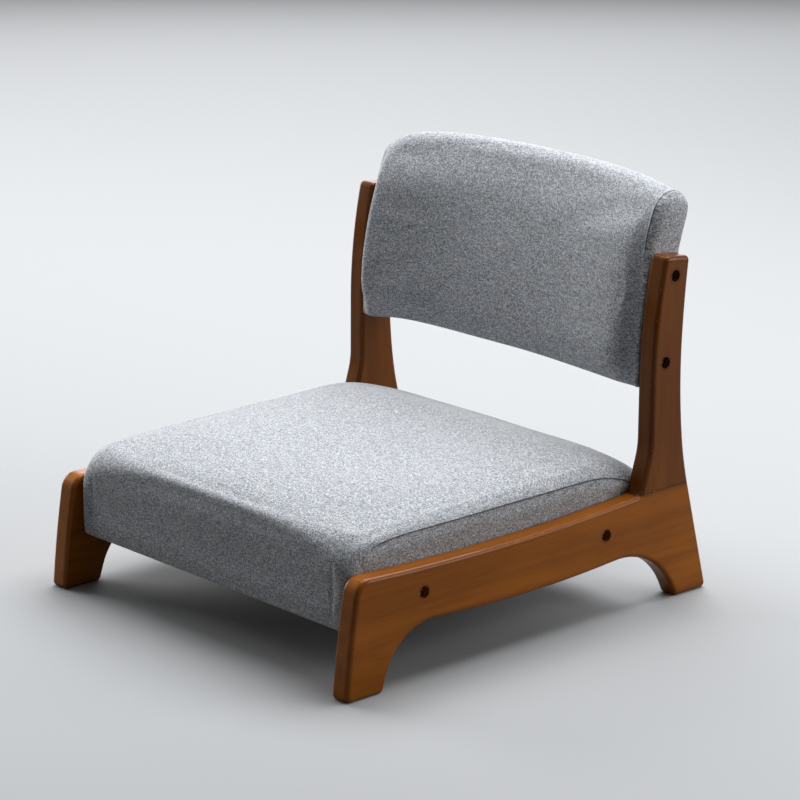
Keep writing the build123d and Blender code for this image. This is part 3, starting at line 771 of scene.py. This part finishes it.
# %% [markdown]
# ## Wood
# The side boards and posts keep their CAD meshes, since their shape is right, and only
# get a finish: beech with a red-brown stain under clear lacquer. Grain is long in one
# direction, so a noise pattern is squeezed across the grain and stretched along it. The
# stain gathers in the pores as fine dark strokes. A Bevel node finds the edges, and the
# colour is made darker along them, with a few pale nicks.

# %% Helpers for node materials
class Wiring:
    """The nodes of a material or world, with short ways to add and join them."""

    def __init__(self, owner):
        owner.use_nodes = True
        self.nodes = owner.node_tree.nodes
        self.links = owner.node_tree.links

    def fill(self, socket, value):
        """Writes a number or colour on a socket, or joins a node's output to it."""
        if isinstance(value, bpy.types.NodeSocket):
            self.links.new(value, socket)
        else:
            socket.default_value = value

    def put(self, node, **settings):
        """Fills in a node's settings, and its sockets by name."""
        for key, value in settings.items():
            if hasattr(node, key):
                setattr(node, key, value)
            else:
                self.fill(node.inputs[key.replace("_", " ")], value)

    def add(self, kind, *sources, **settings):
        """A new node. The sources fill its first sockets in order."""
        node = self.nodes.new("ShaderNode" + kind)
        self.put(node, **settings)
        for socket, value in zip(node.inputs, sources):
            self.fill(socket, value)
        return node

    def ramp(self, source, stops):
        """A colour ramp through (place, colour) stops."""
        node = self.add("ValToRGB", source)
        elements = node.color_ramp.elements
        while len(elements) < len(stops):
            elements.new(0.5)
        for element, (place, colour) in zip(elements, stops):
            element.position = place
            element.color = (*colour, 1)
        return node.outputs[0]

    def mixed(self, kind, factor, one, other):
        """Two colours mixed."""
        node = self.add("Mix", factor, data_type="RGBA", blend_type=kind)
        self.fill(node.inputs[6], one)
        self.fill(node.inputs[7], other)
        return node.outputs[2]

    def blended(self, factor, one, other):
        """Two numbers mixed."""
        node = self.add("Mix", factor, data_type="FLOAT")
        self.fill(node.inputs[2], one)
        self.fill(node.inputs[3], other)
        return node.outputs[0]

    def shaded(self, tone, source, stops, share=1.0):
        """A tone multiplied by a colour ramp."""
        return self.mixed("MULTIPLY", share, tone, self.ramp(source, stops))

    def noise(self, place, scale, shift=(0, 0, 0), detail=2.0, rough=0.5, bend=0.0):
        """Noise on a place that is stretched by the three scales, in cells a metre."""
        turned = self.add("Mapping", place, Scale=scale, Location=shift)
        node = self.add("TexNoise", turned.outputs[0], Scale=1.0, Detail=detail,
                        Roughness=rough, Distortion=bend)
        return node.outputs["Fac"]

    def ranged(self, source, low, high, to_low, to_high):
        """A Map Range node, clamped."""
        return self.add("MapRange", source, low, high, to_low, to_high).outputs[0]

    def bump(self, height, strength, distance, **settings):
        """The normal of a surface with a height on it."""
        return self.add("Bump", Strength=strength, Distance=distance, Height=height,
                        **settings).outputs[0]


def new_material(name):
    """A material with its wiring and its shader."""
    material = bpy.data.materials.new(name)
    wires = Wiring(material)
    return material, wires, wires.nodes["Principled BSDF"]


# %% Lacquered wood
white = (1.0, 1.0, 1.0)
pore_tint, cloud_tint = (0.62, 0.56, 0.50), (0.82, 0.78, 0.74)
edge_tint, nick_colour = (0.50, 0.44, 0.40), (0.62, 0.45, 0.27, 1)
edge_reach, softened_reach = 0.006, 0.0011


def stretched(amount, along, length):
    """Three scales, the same across the grain and smaller along it."""
    scale = [amount, amount, amount]
    scale[along] = length
    return scale


def lacquered_wood(name, pale, dark, along, shift):
    """Stained wood whose grain runs along the given axis, 1 for Y and 2 for Z. Each tint
    is multiplied on the last, and an edge is where the rounded normal leaves the true
    one: their dot product falls below one."""
    material, wires, shader = new_material(name)
    place = wires.add("TexCoord").outputs["Object"]
    middle = tuple((a + b) / 2 for a, b in zip(pale, dark))
    grain = wires.noise(place, stretched(52.0, along, 2.4), (shift, shift, shift),
                        6.0, 0.62, 0.7)
    tone = wires.ramp(grain, [(0.30, dark), (0.52, middle), (0.74, pale)])
    pore = wires.noise(place, stretched(1000.0, along, 30.0), (shift, 0, shift))
    tone = wires.shaded(tone, pore, [(0.28, pore_tint), (0.40, white)], 0.75)
    cloud = wires.noise(place, (8.0, 8.0, 8.0), (0, shift, 0))
    tone = wires.shaded(tone, cloud, [(0.3, cloud_tint), (0.7, white)])

    rounded = wires.add("Bevel", samples=4, Radius=edge_reach).outputs[0]
    true = wires.add("NewGeometry").outputs["True Normal"]
    facing = wires.add("VectorMath", rounded, true, operation="DOT_PRODUCT")
    edge = wires.ranged(facing.outputs["Value"], 0.995, 0.93, 0.0, 1.0)
    tone = wires.shaded(tone, edge, [(0.0, white), (1.0, edge_tint)])
    nick = wires.noise(place, (330.0, 330.0, 330.0), (shift, 2.0, 0), 1.0)
    nicks = wires.ranged(nick, 0.735, 0.76, 0.0, 0.85)
    both = wires.add("Math", edge, nicks, operation="MULTIPLY").outputs[0]

    softened = wires.add("Bevel", samples=6, Radius=softened_reach).outputs[0]
    gloss = wires.noise(place, (60.0, 60.0, 60.0))
    wires.put(shader, Base_Color=wires.mixed("MIX", both, tone, nick_colour),
              Normal=wires.bump(pore, 0.05, 0.0004, Normal=softened),
              Roughness=wires.ranged(gloss, 0.3, 0.7, 0.30, 0.42),
              Specular_IOR_Level=0.08, Specular_Tint=(1.0, 0.42, 0.16, 1),
              Coat_Weight=0.20, Coat_Roughness=0.09, Coat_IOR=1.5)
    return material


def dress(nodes, material):
    """Gives CAD nodes a material, slot by slot."""
    for node in nodes:
        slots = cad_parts[node].data.materials
        for number in range(len(slots)):
            slots[number] = material


board_finish = lacquered_wood("board_finish", (0.37, 0.116, 0.005), (0.205, 0.058, 0.003), 1, 3.1)
post_finish = lacquered_wood("post_finish", (0.185, 0.055, 0.003), (0.108, 0.030, 0.002), 2, 7.7)
dress(["side_frame_left", "side_frame_right"], board_finish)
dress(["back_post_left", "back_post_right"], post_finish)
print("wood finishes:", board_finish.name, post_finish.name)

# %% [markdown]
# ## Cloth
# The cover is a plain weave of mixed grey yarns: each yarn is spun from light and dark
# fibres, so the cloth is flecked at the width of a yarn. One noise is stretched along
# the warp and one along the weft, and a fine chequer lets first one and then the other
# lie on top. A third noise with one value for each crossing makes the flecks, and long
# thin slubs run through it. The seam is darker, because little light reaches into it.

# %% Mixed grey weave
def weave(name, dark, middle, pale, yarn, spread):
    """Plain weave on the piece's own flat places, with yarns of the given width."""
    material, wires, shader = new_material(name)
    place = wires.add("UVMap", uv_map="cloth").outputs[0]
    fine = 1.0 / yarn
    across = wires.noise(place, (0.30 * fine, fine, 1.0), (3.0, 1.5, 3.0), 3.0, 0.7)
    along = wires.noise(place, (fine, 0.30 * fine, 1.0), (11.0, 5.5, 0), 3.0, 0.7)
    counted = wires.add("Mapping", place, Scale=(fine, fine, 1)).outputs[0]
    chequer = wires.add("TexChecker", counted, Scale=1.0).outputs["Fac"]
    on_top = wires.blended(chequer, across, along)

    crossing = wires.add("VectorMath", counted, operation="FLOOR").outputs[0]
    fleck = wires.add("TexWhiteNoise", crossing, noise_dimensions="2D").outputs["Value"]
    flecked = wires.blended(0.26, on_top, fleck)
    tone = wires.ramp(flecked, [(0.5 - spread, dark), (0.5, middle), (0.5 + spread, pale)])
    slub = wires.noise(place, (90.0, 620.0, 1.0), (5.0, 2.5, 0), 3.0, 0.6)
    tone = wires.shaded(tone, slub, [(0.34, (0.70, 0.70, 0.70)), (0.66, white)])
    tint = wires.noise(place, (420.0, 420.0, 1.0), (1.0, 9.0, 0))
    tone = wires.shaded(tone, tint, [(0.38, (0.93, 0.98, 1.0)), (0.62, (1.0, 0.975, 0.95))])

    seam = wires.add("Attribute", attribute_name="seam").outputs["Fac"]
    depth = wires.add("VectorMath", tone, operation="SCALE",
                      Scale=wires.ranged(seam, 0.0002, 0.0014, 0.18, 1.0))
    wires.put(shader, Base_Color=depth.outputs[0], Normal=wires.bump(flecked, 0.5, 0.0004),
              Roughness=0.92, Specular_IOR_Level=0.2, Sheen_Weight=0.45,
              Sheen_Roughness=0.3)
    return material


yarn_width = 0.00095
cover_finish = weave("cover_finish", (0.11, 0.115, 0.13), (0.37, 0.378, 0.40),
                     (0.84, 0.85, 0.89), yarn_width, 0.20)
for cushion in (seat_cushion, back_cushion):
    cushion.data.materials.append(cover_finish)
print("cloth finish:", cover_finish.name)


# %% Black dust cloth
def felted(name, colour):
    """Unwoven cloth: a dark colour with pressed dimples and drifting fibres."""
    material, wires, shader = new_material(name)
    place = wires.add("UVMap", uv_map="cloth").outputs[0]
    dimple = wires.add("TexVoronoi", place, Scale=420.0).outputs["Distance"]
    tone = wires.ramp(dimple, [(0.1, tuple(c * 0.5 for c in colour)), (0.6, colour)])
    fibre = wires.noise(place, (60.0, 300.0, 1.0), (0, 0, 0), 4.0)
    tone = wires.shaded(tone, fibre, [(0.35, (0.7, 0.7, 0.7)), (0.65, white)])
    wires.put(shader, Base_Color=tone, Normal=wires.bump(dimple, 0.5, 0.0003), Roughness=0.85)
    return material


dust.data.materials.append(felted("dust_finish", (0.035, 0.035, 0.038)))

# %% [markdown]
# ## Metal
# The bolts sit deep in their holes, where only a glint of their plating shows. Their
# plating is painted darker than the zinc of the other fixings, as painted shade for the
# deep holes. Plating is bright but not polished, and its colour and its roughness both
# vary a little.

# %% Plated steel
def plated(name, colour):
    """Plated steel with fine scratches in its colour and roughness."""
    material, wires, shader = new_material(name)
    place = wires.add("TexCoord").outputs["Object"]
    scratch = wires.noise(place, (900.0, 900.0, 900.0), (0, 0, 0), 3.0)
    tone = wires.ramp(scratch, [(0.3, tuple(c * 0.8 for c in colour)), (0.7, colour)])
    wires.put(shader, Base_Color=tone, Metallic=1.0,
              Roughness=wires.ranged(scratch, 0.3, 0.7, 0.22, 0.42))
    return material


zinc = plated("zinc_finish", (0.74, 0.73, 0.70))
# Painted shade: the bolts' plating is darker than the zinc, to stand for the shade in their deep
# holes.
shade_darkened_plating = plated("shade_darkened_plating_finish", (0.45, 0.39, 0.31))
dress(["seat_bolts", "seat_washers", "back_bolts", "back_washers"], shade_darkened_plating)
dress(["seat_insert_nuts", "back_insert_nuts", "seat_deck_screws", "back_batten_screws"], zinc)
staple_piece.data.materials.append(zinc)


# %% Bare wood inside
def bare_wood(name, pale, dark, along):
    """Unfinished wood for the pieces that the covers hide."""
    material, wires, shader = new_material(name)
    place = wires.add("TexCoord").outputs["Object"]
    grain = wires.noise(place, stretched(120.0, along, 6.0), (0, 0, 0), 4.0)
    wires.put(shader, Base_Color=wires.ramp(grain, [(0.3, dark), (0.7, pale)]),
              Normal=wires.bump(grain, 0.2, 0.0004), Roughness=0.7)
    return material


pine = [bare_wood(name, (0.62, 0.44, 0.26), (0.5, 0.33, 0.18), axis)
        for axis, name in enumerate(("pine_crossways", "pine_lengthways", "pine_upright"))]
dress(["seat_side_rail_left", "seat_side_rail_right", "seat_corner_blocks"], pine[1])
dress(["seat_front_rail", "seat_rear_rail", "seat_deck", "back_board", "seat_frame_dowels"],
      pine[0])
dress(["back_batten_left", "back_batten_right", "post_dowels"], pine[2])

# %% [markdown]
# ## Studio
# The chair stands on a plain pale floor. A large soft panel overhead does most of the
# lighting, and weaker ones stand to the left, the rear left and the rear right. A pale
# floor would throw so much light back up that the chair's front would look flat, so the
# floor's paper is pale to the camera and in reflections, and darker for bounced light.

# %% Floor
def studio_floor(radius, around, rings):
    """A flat disc: rings of points whose radii grow with the square of their number."""
    angle = np.linspace(0, 2 * np.pi, around, endpoint=False)
    size = radius * (np.arange(1, rings + 1) / rings) ** 2
    points = np.stack([np.outer(size, np.cos(angle)), np.outer(size, np.sin(angle)),
                       np.zeros((rings, around))], -1).reshape(-1, 3)
    points = np.concatenate([points, [[0.0, 0.0, 0.0]]])
    grid = np.arange(rings * around).reshape(rings, around)
    middle = np.stack([grid[0], np.roll(grid[0], -1), np.full(around, len(points) - 1)], -1)
    quads = quads_of(grid, closed=True)[:, ::-1]
    return make_piece("studio_floor", points, quads.tolist() + middle.tolist())


def pale_to_camera(wires, dark, pale):
    """The pale colour for camera, mirror and clear rays, the dark one for all others."""
    path = wires.add("LightPath").outputs
    mirrored = wires.add("Math", path["Is Glossy Ray"], path["Is Transmission Ray"],
                         operation="MAXIMUM").outputs[0]
    seen = wires.add("Math", path["Is Camera Ray"], mirrored, operation="MAXIMUM").outputs[0]
    return wires.mixed("MIX", seen, dark, pale)


floor = studio_floor(14.0, 96, 12)
floor_material, wires, shader = new_material("studio_paper")
paper = pale_to_camera(wires, (0.16, 0.16, 0.16, 1), (0.36, 0.364, 0.37, 1))
wires.put(shader, Base_Color=paper, Roughness=0.8, Specular_IOR_Level=0.1)
floor.data.materials.append(floor_material)


# %% Lamps
def panel(name, place, aim, size, power, colour):
    """A rectangular soft lamp at a place, turned to its aim."""
    lamp = bpy.data.lights.new(name, "AREA")
    lamp.shape = "RECTANGLE"
    lamp.size, lamp.size_y = size
    lamp.energy = power
    lamp.color = colour
    direction = Vector(aim) - Vector(place)
    turned = direction.to_track_quat("-Z", "Y").to_matrix().to_4x4()
    lamp_object = into_scene(name, lamp)
    lamp_object.matrix_world = Matrix.Translation(place) @ turned
    lamp_object.visible_camera = False


panel("sky_panel", (-0.4, 0.9, 2.5), (0, 0, 0.1), (3.0, 2.2), 150, (0.96, 0.98, 1.0))
panel("rear_right_panel", (1.5, 1.3, 0.75), (0, 0, 0.2), (1.2, 1.0), 19, (1.0, 0.99, 0.97))
panel("left_panel", (-3.0, -0.6, 1.1), (0, 0, 0.2), (1.6, 1.6), 60, (1.0, 0.99, 0.98))
panel("rear_left_panel", (-2.4, 2.2, 1.15), (0, 0, 0.2), (2.8, 1.3), 38, (0.98, 0.99, 1.0))

world = bpy.data.worlds.new("studio_air")
bpy.context.scene.world = world
wires = Wiring(world)
sky = pale_to_camera(wires, (0.085, 0.088, 0.092, 1), (0.60, 0.608, 0.617, 1))
wires.put(wires.nodes["Background"], Color=sky, Strength=1.0)
bpy.context.scene.view_settings.view_transform = "Standard"

# %% [markdown]
# ## Camera
# The viewpoint was worked out from the chair's own corners in the photograph: a long lens
# about 3.6 m away, a little above the seat and well round to the sitter's left.

# %% Set the camera
turned, raised, rolled_by = 0.821975, 0.288756, 0.005338
camera_place = Vector((2.487855, -2.295492, 1.201558))
sensor_width = 36
focal_pixels, picture_pixels = 3500.5, 800

backwards = Vector((
    math.sin(turned) * math.cos(raised), -math.cos(turned) * math.cos(raised),
    math.sin(raised),
))
sideways = (-backwards).cross(Vector((0, 0, 1))).normalized()
upwards = sideways.cross(-backwards)
right = math.cos(rolled_by) * sideways + math.sin(rolled_by) * upwards
up = -math.sin(rolled_by) * sideways + math.cos(rolled_by) * upwards

camera = bpy.data.cameras.new("camera")
camera.sensor_width = sensor_width
camera.lens = focal_pixels / picture_pixels * sensor_width
camera.clip_end = 60
camera_object = into_scene("camera", camera)
turn = Matrix((right, up, backwards)).transposed().to_4x4()
camera_object.matrix_world = Matrix.Translation(camera_place) @ turn
bpy.context.scene.camera = camera_object
print("lens", round(camera.lens, 1), "mm, distance", round(camera_place.length, 2), "m")

# %% [markdown]
